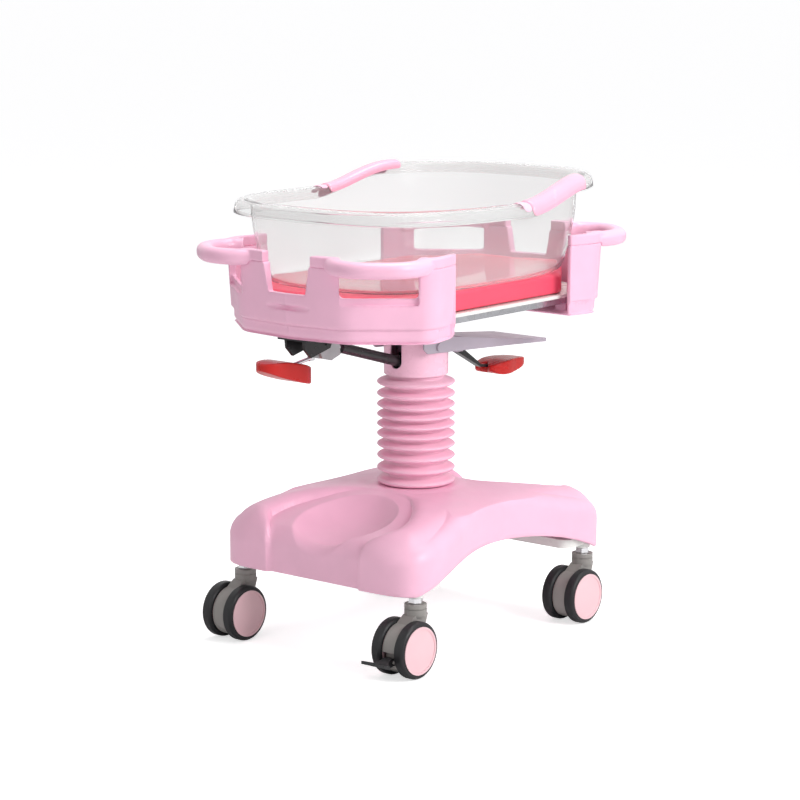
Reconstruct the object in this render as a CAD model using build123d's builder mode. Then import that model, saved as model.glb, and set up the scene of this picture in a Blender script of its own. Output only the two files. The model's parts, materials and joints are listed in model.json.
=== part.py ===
from build123d import *
import math
import os

os.makedirs("parts", exist_ok=True)

# All lengths in millimetres, Z up, the low foot end of the basin toward -Y

# Casters
wheel_dia = 100
wheel_width = 21
wheel_gap = 29
wheel_trail = 30
caster_x = 199
caster_y = 244
axle_dia = 10
stem_dia = 12
head_dia = 39
head_top = 123
running = 0.05

# Base
cover_half_width = 235
cover_half_length = 290
cover_bottom = 140
boss_bottom = 134
cover_top = 266
waist = 0.2
beam_under = 158
beam_top = 186
bowl_radius = 97
bowl_depth = 36
bowl_y = 218

# Column
collar_radius = 76
outer_radius = 45
tube_wall = 4
inner_radius = 37
sleeve_radius = 58.5
sleeve_wall = 3.3
sleeve_bottom = 472
sleeve_top = 570
bellows_bottom = 269
bellows_crest = 71
bellows_root = 51
bellows_rings = 10
slot_width = 26
slot_centre = 499

# Tilt gear
pivot_z = 582
pivot_dia = 12
anchor_y = -45
anchor_z = 497
hanger_y = -271
hanger_z = 561
trigger_x = -40
trigger_y = -240
trigger_z = 541

# Bed
tray_bottom = 575
belt_top = 599
sill = 654
tray_top = 704
cap_top = 723
tray_wall = 14
tray_half_width = 240
tray_half_length = 354
tray_end_y = 165
rail_half_gap = 180
rail_top = 606
sheet_top = 612
pad_top = 650
soft_gap = 0.3

# Basin
rim_half_width = 250
rim_half_length = 334
rim_land = 32
rim_drop = 25
rim_foot = 800
rim_middle = 795
rim_head = 828
shell = 4
floor_half_width = 208
floor_half_length = 289


# Points round a full-cornered oval, squarer than an ellipse
def oval(half_x, half_y, power=3, count=20):
    points = []
    for k in range(count):
        angle = 2 * math.pi * k / count
        c = abs(math.cos(angle) / half_x) ** power
        s = abs(math.sin(angle) / half_y) ** power
        reach = (c + s) ** (-1 / power)
        points.append((reach * math.cos(angle), reach * math.sin(angle)))
    return points


# Base steelwork: spine, two cross beams and a boss over every caster
with BuildPart() as base_chassis:
    with BuildSketch(Plane.XY.offset(beam_under)):
        Rectangle(90, 2 * caster_y + 20)
        Rectangle(160, 160)
    extrude(amount=beam_top - beam_under)
    with BuildSketch(Plane.XY.offset(cover_bottom + 2)):
        with Locations((0, caster_y - 26), (0, 26 - caster_y)):
            RectangleRounded(2 * caster_x + 26, 80, 22)
    extrude(amount=beam_under - cover_bottom - 2)
    with BuildSketch(Plane.XY.offset(boss_bottom)):
        with GridLocations(2 * caster_x, 2 * caster_y, 2, 2):
            Circle(14)
    extrude(amount=cover_bottom + 3 - boss_bottom)
    with BuildSketch(Plane.XY.offset(beam_top)):
        Circle(outer_radius)
    extrude(amount=-60, mode=Mode.SUBTRACT)
    with BuildSketch(Plane.XY.offset(boss_bottom)):
        with GridLocations(2 * caster_x, 2 * caster_y, 2, 2):
            Circle(stem_dia / 2)
    extrude(amount=16, mode=Mode.SUBTRACT)
base_chassis.part.label = "base_chassis"
export_step(base_chassis.part, "parts/base_chassis.step")

# Hood of the base: plan with hollowed long sides, trimmed by rounded side and end views
with BuildPart() as hood:
    with BuildSketch(Plane.XY.offset(cover_bottom)) as plan:
        with BuildLine():
            for side in (-1, 1):
                ThreePointArc(
                    (side * (cover_half_width - 10), -150),
                    (side * cover_half_width * (1 - waist), 0),
                    (side * (cover_half_width - 10), 150),
                )
            for end in (-1, 1):
                Polyline(
                    (cover_half_width - 10, end * 150),
                    (cover_half_width, end * cover_half_length),
                    (-cover_half_width, end * cover_half_length),
                    (10 - cover_half_width, end * 150),
                )
        make_face()
        fillet([v for v in plan.vertices() if abs(v.Y) > 200], 65)
        fillet([v for v in plan.vertices() if 145 < abs(v.Y) < 155], 60)
    extrude(amount=cover_top - cover_bottom)
    with BuildSketch(Plane.YZ.offset(-300)) as side_view:
        with BuildLine():
            Polyline(
                (-cover_half_length - 2, cover_bottom), (-cover_half_length + 6, 236),
                (-175, cover_top), (175, cover_top), (cover_half_length - 6, 236),
                (cover_half_length + 2, cover_bottom), close=True,
            )
        make_face()
        fillet([v for v in side_view.vertices() if 200 < v.Z < 240], 55)
        fillet([v for v in side_view.vertices() if v.Z > 250], 120)
    extrude(amount=600, mode=Mode.INTERSECT)
    with BuildSketch(Plane.XZ.offset(-400)) as end_view:
        with BuildLine():
            Polyline(
                (-cover_half_width - 2, cover_bottom), (-cover_half_width + 6, 232),
                (-110, cover_top), (110, cover_top), (cover_half_width - 6, 232),
                (cover_half_width + 2, cover_bottom), close=True,
            )
        make_face()
        fillet([v for v in end_view.vertices() if 200 < v.Z < 240], 55)
        fillet([v for v in end_view.vertices() if v.Z > 250], 100)
    extrude(amount=800, mode=Mode.INTERSECT)


# Scooped hollow at one end of the hood: narrowing toward the column, falling toward the end
def scoop(end):
    with BuildPart() as tool:
        with BuildSketch(Plane.XY.offset(cover_bottom - 20)) as plan:
            with BuildLine():
                Polyline(
                    (104, end * 310), (108, end * 284), (146, end * 250), (136, end * 180),
                    (60, end * 100), (-60, end * 100), (-136, end * 180), (-146, end * 250),
                    (-108, end * 284), (-104, end * 310), close=True,
                )
            make_face()
            fillet([v for v in plan.vertices() if abs(v.Y) < 305], 22)
        extrude(amount=200)
        with BuildSketch(Plane.YZ.offset(-160)) as drop:
            with BuildLine():
                Polyline(
                    (end * 283, cover_bottom - 20), (end * 278, 212), (end * bowl_y, 230),
                    (end * 90, 268), (end * 90, 320), (end * 330, 320),
                    (end * 330, cover_bottom - 20), close=True,
                )
            make_face()
            fillet([v for v in drop.vertices() if 205 < v.Z < 220], 45)
        extrude(amount=320, mode=Mode.INTERSECT)
    return tool


# Moulded base cover over the steelwork, with one round storage bowl in the foot scoop
bowl_ball = (bowl_radius**2 + bowl_depth**2) / (2 * bowl_depth)
with BuildPart() as base_cover:
    add(hood.part)
    for end in (-1, 1):
        add(scoop(end).part, mode=Mode.SUBTRACT)
    with Locations((0, -bowl_y - 14, 231 + bowl_ball - bowl_depth)):
        Sphere(bowl_ball, mode=Mode.SUBTRACT)
    with BuildSketch(Plane.XY.offset(cover_bottom - 2)) as cavity:
        with BuildLine():
            for side in (-1, 1):
                ThreePointArc(
                    (side * (cover_half_width - 22), -140),
                    (side * (cover_half_width * (1 - waist) - 6), 0),
                    (side * (cover_half_width - 22), 140),
                )
            for end in (-1, 1):
                Polyline(
                    (cover_half_width - 22, end * 140),
                    (cover_half_width - 14, end * (cover_half_length - 14)),
                    (14 - cover_half_width, end * (cover_half_length - 14)),
                    (22 - cover_half_width, end * 140),
                )
        make_face()
        fillet([v for v in cavity.vertices() if abs(v.Y) > 200], 46)
    extrude(amount=beam_top + 2 - cover_bottom, mode=Mode.SUBTRACT)
    with BuildSketch(Plane.XY.offset(beam_top)):
        with Locations((104, 0), (-104, 0)):
            RectangleRounded(90, 180, 20)
    extrude(amount=44, mode=Mode.SUBTRACT)
    with BuildSketch(Plane.YZ.offset(-260)) as arch:
        with BuildLine():
            Polyline(
                (-262, cover_bottom - 6), (-215, 152), (-160, 170), (-70, 183), (70, 183),
                (160, 170), (215, 152), (262, cover_bottom - 6), close=True,
            )
        make_face()
        fillet([v for v in arch.vertices() if v.Z > 175], 120)
        fillet([v for v in arch.vertices() if 150 < v.Z < 172], 60)
    extrude(amount=520, mode=Mode.SUBTRACT)
    with BuildSketch(Plane.XY.offset(cover_top)):
        Circle(collar_radius)
    extrude(amount=3)
    with BuildSketch(Plane.XY.offset(beam_top)):
        Circle(outer_radius + 3)
    extrude(amount=100, mode=Mode.SUBTRACT)
base_cover.part.label = "base_cover"
export_step(base_cover.part, "parts/base_cover.step")

# Fixed steel tube of the column, with its foot plate
with BuildPart() as outer_tube:
    with BuildSketch(Plane.XY.offset(beam_under - 16)):
        Circle(outer_radius)
    extrude(amount=260)
    with BuildSketch(Plane.XY.offset(beam_under - 10)):
        Circle(outer_radius - tube_wall)
    extrude(amount=260, mode=Mode.SUBTRACT)
outer_tube.part.label = "outer_tube"
export_step(outer_tube.part, "parts/outer_tube.step")
tube_top = beam_under - 16 + 260

# Slide bush pressed in the top of the fixed tube
with BuildPart() as guide_bush:
    with BuildSketch(Plane.XY.offset(tube_top - 30)):
        Circle(outer_radius - tube_wall)
        Circle(inner_radius + running, mode=Mode.SUBTRACT)
    extrude(amount=30)
    with BuildSketch(Plane.XY.offset(tube_top)):
        Circle(outer_radius)
        Circle(inner_radius + running, mode=Mode.SUBTRACT)
    extrude(amount=3)
guide_bush.part.label = "guide_bush"
export_step(guide_bush.part, "parts/guide_bush.step")

# Ribbed bellows round the column, stretched a little more toward its ends
bellows_length = sleeve_bottom - bellows_bottom


def ring_height(k):
    share = k / bellows_rings
    sway = 0.022 * math.sin(2 * math.pi * (share + 0.06))
    sway -= 0.022 * math.sin(2 * math.pi * 0.06)
    return sleeve_bottom - bellows_length * (share + sway)


with BuildPart() as bellows:
    with BuildSketch(Plane.XZ):
        outside = []
        inside = []
        for k in range(bellows_rings):
            top = ring_height(k)
            low = ring_height(k + 1)
            pitch = top - low
            outside += [(bellows_root, top), (bellows_root + 2, top - 0.3 * pitch)]
            outside += [(bellows_crest - 2, top - 0.45 * pitch), (bellows_crest, top - 0.55 * pitch)]
            outside += [(bellows_crest, top - 0.78 * pitch), (bellows_crest - 2, top - 0.88 * pitch)]
            inside += [(bellows_root - 2, top), (bellows_root, top - 0.38 * pitch)]
            inside += [(bellows_crest - 4, top - 0.57 * pitch), (bellows_crest - 4, top - 0.76 * pitch)]
        outside += [(bellows_root, bellows_bottom)]
        inside += [(bellows_root - 2, bellows_bottom)]
        with BuildLine():
            Polyline(*outside, *reversed(inside), close=True)
        make_face()
    revolve(axis=Axis.Z)
bellows.part.label = "bellows"
export_step(bellows.part, "parts/bellows.step")

# Rising steel core of the column: tube, flange, gas spring pin, tilt lugs and tilt pin
with BuildPart() as column_core:
    with BuildSketch(Plane.XY.offset(beam_under + 54)):
        Circle(inner_radius)
        Circle(inner_radius - tube_wall, mode=Mode.SUBTRACT)
    extrude(amount=sleeve_top - beam_under - 54)
    with BuildSketch(Plane.XY.offset(sleeve_bottom + 2)):
        Circle(sleeve_radius - sleeve_wall)
        Circle(inner_radius - tube_wall, mode=Mode.SUBTRACT)
    extrude(amount=7)
    with BuildSketch(Plane.XY.offset(sleeve_top - 8)):
        Circle(sleeve_radius - sleeve_wall)
    extrude(amount=8)
    with BuildSketch(Plane.XZ):
        with Locations((0, anchor_z)):
            Rectangle(22, 30)
    extrude(amount=inner_radius + 4, mode=Mode.SUBTRACT)
    with BuildSketch(Plane.YZ.offset(-12)):
        with Locations((anchor_y + 4, 491)):
            Rectangle(20, 30)
    extrude(amount=-4)
    with BuildSketch(Plane.YZ.offset(12)):
        with Locations((anchor_y + 4, 491)):
            Rectangle(20, 30)
    extrude(amount=4)
    with BuildSketch(Plane.YZ.offset(-12)):
        with Locations((anchor_y, anchor_z)):
            Circle(4)
    extrude(amount=24)
    with BuildSketch(Plane.XY.offset(sleeve_bottom - 1)):
        Circle(inner_radius - tube_wall)
    extrude(amount=82, mode=Mode.SUBTRACT)
    with BuildSketch(Plane.YZ.offset(-22)):
        with Locations((0, pivot_z)):
            Circle(14)
        with Locations((0, pivot_z - 7)):
            Rectangle(28, 14)
    extrude(amount=8)
    with BuildSketch(Plane.YZ.offset(14)):
        with Locations((0, pivot_z)):
            Circle(14)
        with Locations((0, pivot_z - 7)):
            Rectangle(28, 14)
    extrude(amount=8)
    with BuildSketch(Plane.YZ.offset(-36)):
        with Locations((0, pivot_z)):
            Circle(pivot_dia / 2)
    extrude(amount=72)
column_core.part.label = "column_core"
export_step(column_core.part, "parts/column_core.step")

# Painted sleeve round the head of the column, slotted toward the foot
with BuildPart() as column_sleeve:
    with BuildSketch(Plane.XY.offset(sleeve_bottom)):
        Circle(sleeve_radius)
        Circle(sleeve_radius - sleeve_wall, mode=Mode.SUBTRACT)
    extrude(amount=sleeve_top - sleeve_bottom)
    with BuildSketch(Plane.XZ):
        with Locations((0, slot_centre)):
            Circle(slot_width / 2)
        with Locations((0, (slot_centre + sleeve_top - 8) / 2)):
            Rectangle(slot_width, sleeve_top - 8 - slot_centre)
    extrude(amount=70, mode=Mode.SUBTRACT)
    with BuildSketch(Plane.YZ.offset(-70)):
        with Locations((-12, 526)):
            Circle(4)
    extrude(amount=140, mode=Mode.SUBTRACT)
column_sleeve.part.label = "column_sleeve"
export_step(column_sleeve.part, "parts/column_sleeve.step")

# Lift gas spring inside the column
with BuildPart() as lift_spring_cylinder:
    with BuildSketch(Plane.XY.offset(beam_under - 10)):
        Circle(14)
    extrude(amount=232)
    with BuildSketch(Plane.XY.offset(beam_under - 6)):
        Circle(12.5)
    extrude(amount=220, mode=Mode.SUBTRACT)
    with BuildSketch(Plane.XY.offset(beam_under - 6)):
        Circle(5 + running)
    extrude(amount=240, mode=Mode.SUBTRACT)
lift_spring_cylinder.part.label = "lift_spring_cylinder"
export_step(lift_spring_cylinder.part, "parts/lift_spring_cylinder.step")

with BuildPart() as lift_spring_rod:
    with BuildSketch(Plane.XY.offset(beam_under + 60)):
        Circle(5)
    extrude(amount=sleeve_top - 8 - beam_under - 60)
lift_spring_rod.part.label = "lift_spring_rod"
export_step(lift_spring_rod.part, "parts/lift_spring_rod.step")

# Grey arm that straddles the column head and carries the lift lever
arm_inside = sleeve_radius + 0.8
arm_plate = 3
lift_pivot_y = 112
lift_pivot_z = 503
with BuildPart() as lever_arm:
    with BuildSketch(Plane.YZ.offset(-arm_inside - arm_plate)):
        with BuildLine():
            Polyline((-42, 549), (23, 541), (196, 516), (310, 504), (310, 497), (196, 504))
            Polyline((196, 504), (-42, 517), (-53, 526), (-53, 541), (-42, 549))
        make_face()
    extrude(amount=2 * (arm_inside + arm_plate))
    with BuildSketch(Plane.YZ.offset(-arm_inside)):
        with BuildLine():
            Polyline((-60, 545), (66, 545), (66, 531), (196, 512.5), (307, 500.8))
            Polyline((307, 500.8), (307, 480), (-60, 480), (-60, 545))
        make_face()
    extrude(amount=2 * arm_inside, mode=Mode.SUBTRACT)
    with BuildSketch(Plane.XY.offset(530)):
        with Locations((0, 0)):
            Rectangle(2 * arm_inside, 132)
    extrude(amount=30, mode=Mode.SUBTRACT)
    with BuildSketch(Plane.YZ.offset(-arm_inside - arm_plate - 4)):
        with Locations((-12, 526)):
            Circle(7.5)
    extrude(amount=4)
    with BuildSketch(Plane.YZ.offset(arm_inside + arm_plate)):
        with Locations((-12, 526)):
            Circle(7.5)
    extrude(amount=4)
    with BuildSketch(Plane.YZ.offset(-arm_inside - 1)):
        with Locations((-12, 526)):
            Circle(4)
    extrude(amount=5)
    with BuildSketch(Plane.YZ.offset(arm_inside + 1)):
        with Locations((-12, 526)):
            Circle(4)
    extrude(amount=-5)
    with BuildSketch(Plane.YZ.offset(-12)):
        with Locations((lift_pivot_y, lift_pivot_z + 9)):
            Rectangle(20, 30)
    extrude(amount=5)
    with BuildSketch(Plane.YZ.offset(12)):
        with Locations((lift_pivot_y, lift_pivot_z + 9)):
            Rectangle(20, 30)
    extrude(amount=-5)
    with BuildSketch(Plane.YZ.offset(-12)):
        with Locations((lift_pivot_y, lift_pivot_z)):
            Circle(3)
    extrude(amount=24)
lever_arm.part.label = "lever_arm"
export_step(lever_arm.part, "parts/lever_arm.step")

# Lift lever: cranked flat bar and its red paddle
with BuildPart() as lift_lever:
    with BuildSketch(Plane.YZ.offset(-6.5)):
        with BuildLine():
            Polyline((lift_pivot_y - 2, lift_pivot_z + 7), (lift_pivot_y + 9, lift_pivot_z + 3))
            Polyline((lift_pivot_y + 9, lift_pivot_z + 3), (184, 464), (212, 459), (212, 454))
            Polyline((212, 454), (182, 459), (lift_pivot_y + 2, lift_pivot_z - 8))
            Polyline((lift_pivot_y + 2, lift_pivot_z - 8), (lift_pivot_y - 8, lift_pivot_z - 2))
            Line((lift_pivot_y - 8, lift_pivot_z - 2), (lift_pivot_y - 2, lift_pivot_z + 7))
        make_face()
    extrude(amount=13)
    with BuildSketch(Plane.YZ.offset(-10)):
        with Locations((lift_pivot_y, lift_pivot_z)):
            Circle(3 + running)
    extrude(amount=20, mode=Mode.SUBTRACT)
lift_lever.part.label = "lift_lever"
export_step(lift_lever.part, "parts/lift_lever.step")


# Fish-tail paddle: two lobes with a notch at the bar, thinning to a rounded far end
def paddle_outline(side, root, reach, half, x=0):
    Spline(
        (x, root + side * 12),
        (x + half * 0.5, root),
        (x + half, root + side * 0.2 * reach),
        (x + half * 0.86, root + side * 0.6 * reach),
        (x + half * 0.5, root + side * 0.93 * reach),
        (x, root + side * reach),
        (x - half * 0.5, root + side * 0.93 * reach),
        (x - half * 0.86, root + side * 0.6 * reach),
        (x - half, root + side * 0.2 * reach),
        (x - half * 0.5, root),
        periodic=True,
    )


with BuildPart() as lift_paddle:
    with BuildSketch(Plane.XY.offset(430)):
        with BuildLine():
            paddle_outline(1, 200, 112, 30)
        make_face()
    extrude(amount=50)
    with BuildSketch(Plane.YZ.offset(-50)):
        with BuildLine():
            Spline((196, 458), (225, 465), (270, 467), (312, 462))
            Line((312, 462), (312, 453))
            Spline((312, 453), (280, 445), (235, 441), (205, 447), (196, 458))
        make_face()
    extrude(amount=100, mode=Mode.INTERSECT)
    add(lift_lever.part, mode=Mode.SUBTRACT)
lift_paddle.part.label = "lift_paddle"
export_step(lift_paddle.part, "parts/lift_paddle.step")

# Tilt gas spring, drawn along its own line from the column pin to the hanger pin
spring_run = math.hypot(hanger_y - anchor_y, hanger_z - anchor_z)
spring_dir = Vector(0, (hanger_y - anchor_y) / spring_run, (hanger_z - anchor_z) / spring_run)
anchor = Vector(0, anchor_y, anchor_z)
spring_end = Plane(origin=anchor, x_dir=(1, 0, 0), z_dir=spring_dir)
cylinder_length = spring_run - 64
with BuildPart() as tilt_spring_cylinder:
    with BuildSketch(spring_end.offset(9)):
        Circle(9.5)
    extrude(amount=cylinder_length - 9)
    with BuildSketch(spring_end.offset(24)):
        Circle(8)
    extrude(amount=cylinder_length - 30, mode=Mode.SUBTRACT)
    with BuildSketch(spring_end.offset(24)):
        Circle(5 + running)
    extrude(amount=cylinder_length, mode=Mode.SUBTRACT)
    with BuildSketch(Plane.YZ.offset(-8)):
        with Locations((anchor_y, anchor_z)):
            Circle(11)
    extrude(amount=16)
    with BuildSketch(Plane.YZ.offset(-12)):
        with Locations((anchor_y, anchor_z)):
            Circle(6.2)
    extrude(amount=24, mode=Mode.SUBTRACT)
tilt_spring_cylinder.part.label = "tilt_spring_cylinder"
export_step(tilt_spring_cylinder.part, "parts/tilt_spring_cylinder.step")

with BuildPart() as tilt_spring_rod:
    with BuildSketch(spring_end.offset(50)):
        Circle(5)
    extrude(amount=spring_run - 50 - 32)
tilt_spring_rod.part.label = "tilt_spring_rod"
export_step(tilt_spring_rod.part, "parts/tilt_spring_rod.step")

# Cast release bracket at the outer end of the tilt spring
with BuildPart() as tilt_bracket:
    with BuildSketch(spring_end.offset(spring_run - 44)):
        Circle(9)
        Circle(5, mode=Mode.SUBTRACT)
    extrude(amount=12)
    with BuildSketch(Plane.YZ.offset(-17)):
        with BuildLine():
            Polyline((-232, 562), (-228, 536), (-252, 528), (-276, 534), (-287, 556))
            Polyline((-287, 556), (-281, 568), (-262, 569), (-232, 562))
        make_face()
    extrude(amount=34)
    with BuildSketch(Plane.YZ.offset(-11)):
        with BuildLine():
            Polyline((-239, 590), (-239, 520), (-300, 520), (-300, 590), (-239, 590))
        make_face()
    extrude(amount=22, mode=Mode.SUBTRACT)
    with BuildSketch(spring_end.offset(spring_run - 60)):
        Circle(5)
    extrude(amount=40, mode=Mode.SUBTRACT)
    with BuildSketch(Plane.YZ.offset(-20)):
        with Locations((hanger_y, hanger_z)):
            Circle(4 + running)
    extrude(amount=40, mode=Mode.SUBTRACT)
    with BuildSketch(Plane.YZ.offset(-15)):
        with Locations((trigger_y, trigger_z)):
            Circle(3)
    extrude(amount=trigger_x + 10)
    with BuildSketch(Plane.YZ.offset(trigger_x - 4)):
        with Locations((trigger_y, trigger_z)):
            Circle(3)
    extrude(amount=8)
    with BuildSketch(Plane.YZ.offset(trigger_x - 4)):
        with Locations((trigger_y, trigger_z)):
            Circle(5)
    extrude(amount=-2)
tilt_bracket.part.label = "tilt_bracket"
export_step(tilt_bracket.part, "parts/tilt_bracket.step")

# Black hanger plates under the foot tray, with the pin that carries the bracket
with BuildPart() as tilt_hanger:
    with BuildSketch(Plane.XY.offset(tray_bottom - 4)):
        with Locations((0, -288)):
            Rectangle(66, 96)
    extrude(amount=4)
    with BuildSketch(Plane.YZ.offset(-23)):
        with BuildLine():
            Polyline((-252, 571), (-262, 552), (-312, 540), (-328, 556), (-330, 571), (-252, 571))
        make_face()
    extrude(amount=5)
    with BuildSketch(Plane.YZ.offset(23)):
        with BuildLine():
            Polyline((-252, 571), (-262, 552), (-312, 540), (-328, 556), (-330, 571), (-252, 571))
        make_face()
    extrude(amount=-5)
    with BuildSketch(Plane.YZ.offset(-26)):
        with Locations((hanger_y, hanger_z)):
            Circle(4)
    extrude(amount=52)
tilt_hanger.part.label = "tilt_hanger"
export_step(tilt_hanger.part, "parts/tilt_hanger.step")

# Tilt release lever beside the bracket: cranked eye plate, steel rod and red paddle
rod_start = Vector(trigger_x, trigger_y - 2, trigger_z - 16)
rod_dir = Vector(0, -59, -8)
with BuildPart() as tilt_lever:
    with BuildSketch(Plane.YZ.offset(trigger_x - 3)):
        with Locations((trigger_y, trigger_z)):
            Circle(8)
        with Locations((trigger_y - 1, trigger_z - 11)):
            Rectangle(13, 20)
    extrude(amount=6)
    with BuildSketch(Plane(origin=rod_start, x_dir=(1, 0, 0), z_dir=rod_dir)):
        Circle(3.5)
    extrude(amount=66)
    with BuildSketch(Plane.YZ.offset(trigger_x - 12)):
        with Locations((trigger_y, trigger_z)):
            Circle(3 + running)
    extrude(amount=24, mode=Mode.SUBTRACT)
tilt_lever.part.label = "tilt_lever"
export_step(tilt_lever.part, "parts/tilt_lever.step")

with BuildPart() as tilt_paddle:
    with BuildSketch(Plane.XY.offset(480)):
        with BuildLine():
            paddle_outline(-1, -264, 109, 34, trigger_x)
        make_face()
    extrude(amount=60)
    with BuildSketch(Plane.YZ.offset(trigger_x - 50)):
        with BuildLine():
            Spline((-258, 510), (-292, 523), (-342, 532), (-378, 530))
            Line((-378, 530), (-378, 521))
            Spline((-378, 521), (-352, 509), (-302, 493), (-264, 490), (-258, 510))
        make_face()
    extrude(amount=100, mode=Mode.INTERSECT)
    add(tilt_lever.part, mode=Mode.SUBTRACT)
tilt_paddle.part.label = "tilt_paddle"
export_step(tilt_paddle.part, "parts/tilt_paddle.step")

# Bed frame: side rails, cross members and the hinge block outside the lugs
with BuildPart() as bed_frame:
    with BuildSketch(Plane.XY.offset(rail_top - 12)):
        with Locations((rail_half_gap, 0), (-rail_half_gap, 0)):
            Rectangle(20, 500)
        with Locations((0, 0), (0, 238), (0, -238)):
            Rectangle(2 * rail_half_gap, 24)
    extrude(amount=12)
    with BuildSketch(Plane.YZ.offset(-33)):
        with Locations((0, pivot_z)):
            Circle(10.5)
        with Locations((0, pivot_z + 7)):
            Rectangle(21, 14)
    extrude(amount=10)
    with BuildSketch(Plane.YZ.offset(33)):
        with Locations((0, pivot_z)):
            Circle(10.5)
        with Locations((0, pivot_z + 7)):
            Rectangle(21, 14)
    extrude(amount=-10)
    with BuildSketch(Plane.YZ.offset(-40)):
        with Locations((0, pivot_z)):
            Circle(pivot_dia / 2 + running)
    extrude(amount=80, mode=Mode.SUBTRACT)
    with BuildSketch(Plane.XY.offset(rail_top - 14)):
        Rectangle(45.6, 40)
    extrude(amount=9, mode=Mode.SUBTRACT)
bed_frame.part.label = "bed_frame"
export_step(bed_frame.part, "parts/bed_frame.step")


# Tray outline in plan: rounded eight-sided end, run on past its open inner side if asked
def tray_face(end, height, grow, run_on=0.0):
    inner = tray_end_y - run_on
    slant = grow * 0.42
    with BuildSketch(Plane.XY.offset(height)) as plan:
        with BuildLine():
            Polyline(
                (-221 - grow, end * inner),
                (-tray_half_width - grow, end * (240 + slant)),
                (-120 - slant, end * (340 + grow)),
                (0, end * (tray_half_length + grow)),
                (120 + slant, end * (340 + grow)),
                (tray_half_width + grow, end * (240 + slant)),
                (221 + grow, end * inner),
                close=True,
            )
        make_face()
        fillet([v for v in plan.vertices() if abs(v.X) > 190 and abs(v.Y) > 215], 45)
        fillet([v for v in plan.vertices() if 80 < abs(v.X) < 160], 80)
    return plan.sketch


# Face of one window: seen square to the slanted corner of a tray
def corner_plane(side, end, reach):
    facing = Vector(side * 0.64, end * 0.768, 0)
    along = Vector(-end * 0.768, side * 0.64, 0)
    centre = (side * 157, end * 291, 0)
    return Plane(origin=centre, x_dir=along, z_dir=facing).offset(reach)


# End tray: belt, floor, double walls with a low sill and two corner windows
def tray(end):
    with BuildPart() as body:
        add(tray_face(end, tray_bottom, 0))
        extrude(amount=belt_top - tray_bottom)
        fillet(body.faces().sort_by(Axis.Z)[0].edges(), 12)
        add(tray_face(end, belt_top, 2.5))
        extrude(amount=tray_top - belt_top)
        add(tray_face(end, tray_bottom + 4, -tray_wall, 40))
        extrude(amount=tray_top, mode=Mode.SUBTRACT)
        with BuildSketch(Plane.XZ):
            with BuildLine():
                Polyline(
                    (-42, sill), (42, sill), (54, cap_top + 1), (-54, cap_top + 1), close=True
                )
            make_face()
        extrude(amount=-end * 400, mode=Mode.SUBTRACT)
        with BuildSketch(Plane.XZ.offset(-end * (tray_half_length - 5))):
            with Locations((0, sill - 24)):
                SlotOverall(96, 9)
        extrude(amount=-end * 30, mode=Mode.SUBTRACT)
        for side in (-1, 1):
            with BuildSketch(corner_plane(side, end, -60)):
                with Locations((0, (sill + tray_top) / 2)):
                    RectangleRounded(134, tray_top - sill, 7)
                with Locations((0, tray_top - 10)):
                    Rectangle(134, 24)
            extrude(amount=120, mode=Mode.SUBTRACT)
            with BuildSketch(corner_plane(side, end, 10)):
                with Locations((0, sill - 3)):
                    RectangleRounded(134, 18, 4)
            extrude(amount=40, mode=Mode.SUBTRACT)
            with BuildSketch(Plane.XY.offset(tray_bottom + 4)):
                with Locations((side * rail_half_gap, end * 205)):
                    Rectangle(24, 24)
            extrude(amount=rail_top - 12 - tray_bottom - 4)
    return body


foot_tray = tray(-1)
foot_tray.part.label = "foot_tray"
export_step(foot_tray.part, "parts/foot_tray.step")
head_tray = tray(1)
head_tray.part.label = "head_tray"
export_step(head_tray.part, "parts/head_tray.step")


# Corner handle: cap on the two posts of a window and the loop that bulges outward
def handle(side, end):
    grip = corner_plane(side, end, 0)
    with BuildPart() as body:
        add(tray_face(end, tray_top, 2.5))
        extrude(amount=cap_top - tray_top)
        add(tray_face(end, tray_top, -tray_wall, 40))
        extrude(amount=cap_top, mode=Mode.SUBTRACT)
        with BuildSketch(Plane.XY.offset(tray_top)):
            with Locations((-side * 200, end * 250)):
                Rectangle(508, 400)
        extrude(amount=cap_top, mode=Mode.SUBTRACT)
        with BuildSketch(corner_plane(side, end, -60)):
            with Locations((0, tray_top)):
                Rectangle(134, 80)
        extrude(amount=120, mode=Mode.SUBTRACT)
        level = Plane(origin=grip.origin + Vector(0, 0, cap_top - 14.5), x_dir=grip.x_dir, z_dir=(0, 0, 1))
        with BuildLine(level) as path:
            Spline((-76, 14), (-70, -26), (-44, -54), (0, -63), (44, -54), (70, -26), (76, 14))
        with BuildSketch(Plane(origin=path.line @ 0, z_dir=path.line % 0)):
            RectangleRounded(30, 28, 12)
        sweep()
        add((foot_tray if end < 0 else head_tray).part, mode=Mode.SUBTRACT)
    return body


handles = {"fl": (-1, -1), "fr": (1, -1), "hl": (-1, 1), "hr": (1, 1)}
for tag, (side, end) in handles.items():
    corner = handle(side, end)
    corner.part.label = f"handle_{tag}"
    export_step(corner.part, f"parts/handle_{tag}.step")


# Eight-sided sheet and pad inside the trays
def bed_slab(inset, low, high):
    with BuildPart() as slab:
        with BuildSketch(Plane.XY.offset(low)) as plan:
            x = 221 - tray_wall - inset
            y = tray_half_length - tray_wall - inset
            with BuildLine():
                Polyline(
                    (x, -190), (x - 92, 12 - y), (92 - x, 12 - y), (-x, -190),
                    (-x, 190), (92 - x, y - 12), (x - 92, y - 12), (x, 190), close=True,
                )
            make_face()
            fillet(plan.vertices(), 25)
        extrude(amount=high - low)
    return slab


platform = bed_slab(11, rail_top, sheet_top)
platform.part.label = "platform"
export_step(platform.part, "parts/platform.step")

pad = bed_slab(14, sheet_top + soft_gap, pad_top)
pad.part.label = "pad"
export_step(pad.part, "parts/pad.step")


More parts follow.
